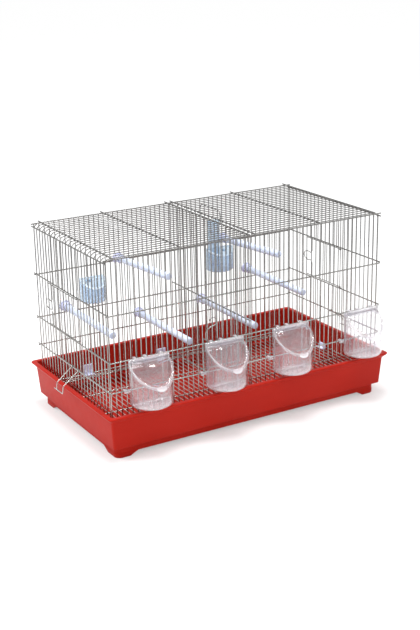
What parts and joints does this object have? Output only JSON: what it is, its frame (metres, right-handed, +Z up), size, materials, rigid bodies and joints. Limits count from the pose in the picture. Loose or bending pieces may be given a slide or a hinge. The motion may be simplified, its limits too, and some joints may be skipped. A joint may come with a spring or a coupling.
{
  "type": "canary breeding cage",
  "caption": "Two-compartment wire breeding cage for canaries: deep moulded tray, floor grille, lift-out divider, perches and hanging clear feeders with hinged lids.",
  "frame": {"origin": "on the floor, at the middle of the outline seen from above, feeders included", "axes": "+X along the length to the right as seen from the front, +Y from the front to the back, +Z up"},
  "size_m": [0.634, 0.3716, 0.3766],
  "materials": {
    "red_plastic": "satin moulded plastic",
    "zinc_wire": "bright zinc plating on drawn wire",
    "clear_plastic": "clear polished plastic with a faint lilac cast",
    "perch_plastic": "pale blue-white moulded plastic",
    "collar_plastic": "pale violet-blue moulded plastic",
    "blue_plastic": "translucent light blue plastic"
  },
  "bodies": {
    "cage": {"tray": "red_plastic", "floor_grille": "zinc_wire", "grille_clips": "collar_plastic", "front_panel": "zinc_wire", "back_panel": "zinc_wire", "left_panel": "zinc_wire", "right_panel": "zinc_wire", "roof_left": "zinc_wire", "roof_right": "zinc_wire", "feeder_cup_1": "clear_plastic", "feeder_cup_2": "clear_plastic", "feeder_cup_3": "clear_plastic", "feeder_cup_4": "clear_plastic", "perch_tube_1": "perch_plastic", "perch_tube_2": "perch_plastic", "perch_tube_3": "perch_plastic", "perch_tube_4": "perch_plastic", "perch_tube_5": "perch_plastic", "perch_tube_6": "perch_plastic", "perch_collar_1": "collar_plastic", "perch_collar_2": "collar_plastic", "perch_collar_3": "collar_plastic", "perch_collar_4": "collar_plastic", "perch_collar_5": "collar_plastic", "perch_collar_6": "collar_plastic", "hopper_tank": "blue_plastic", "hopper_trough": "blue_plastic", "bath_cup": "blue_plastic"},
    "divider": {"divider": "zinc_wire"},
    "side_door_left": {"side_door_left": "zinc_wire"},
    "side_door_right": {"side_door_right": "zinc_wire"},
    "feeder_shutter": {"feeder_shutter": "zinc_wire"},
    "bail_left": {"bail_left": "zinc_wire"},
    "bail_right": {"bail_right": "zinc_wire"},
    "feeder_lid_1": {"feeder_lid_1": "clear_plastic"},
    "feeder_lid_2": {"feeder_lid_2": "clear_plastic"},
    "feeder_lid_3": {"feeder_lid_3": "clear_plastic"},
    "feeder_lid_4": {"feeder_lid_4": "clear_plastic"}
  },
  "joints": [
    {"name": "divider_lift", "type": "slide", "parent": "cage", "child": "divider", "axis": [0, 0, 1], "range_m": [0, 0.3]},
    {"name": "door_right_hinge", "type": "hinge", "parent": "cage", "child": "side_door_right", "pos_m": [0.2815, -0.0154, 0.2183], "axis": [0, 0, -1], "range_deg": [0, 110]},
    {"name": "door_left_hinge", "type": "hinge", "parent": "cage", "child": "side_door_left", "pos_m": [-0.2815, -0.0154, 0.2183], "axis": [0, 0, 1], "range_deg": [0, 110]},
    {"name": "shutter_lift", "type": "slide", "parent": "cage", "child": "feeder_shutter", "axis": [0, 0, 1], "range_m": [0, 0.05]},
    {"name": "bail_left_swing", "type": "hinge", "parent": "cage", "child": "bail_left", "pos_m": [-0.28345, 0.0038, 0.1228], "axis": [0, 1, 0], "range_deg": [0, 136]},
    {"name": "bail_right_swing", "type": "hinge", "parent": "cage", "child": "bail_right", "pos_m": [0.28345, 0.0038, 0.1228], "axis": [0, -1, 0], "range_deg": [0, 136]},
    {"name": "lid_1_hinge", "type": "hinge", "parent": "cage", "child": "feeder_lid_1", "pos_m": [-0.21, -0.1392, 0.1745], "axis": [-1, 0, 0], "range_deg": [0, 100]},
    {"name": "lid_2_hinge", "type": "hinge", "parent": "cage", "child": "feeder_lid_2", "pos_m": [-0.06, -0.1392, 0.1745], "axis": [-1, 0, 0], "range_deg": [0, 100]},
    {"name": "lid_3_hinge", "type": "hinge", "parent": "cage", "child": "feeder_lid_3", "pos_m": [0.08, -0.1392, 0.1745], "axis": [-1, 0, 0], "range_deg": [0, 100]},
    {"name": "lid_4_hinge", "type": "hinge", "parent": "cage", "child": "feeder_lid_4", "pos_m": [0.24, -0.1392, 0.1745], "axis": [-1, 0, 0], "range_deg": [0, 100]}
  ]
}
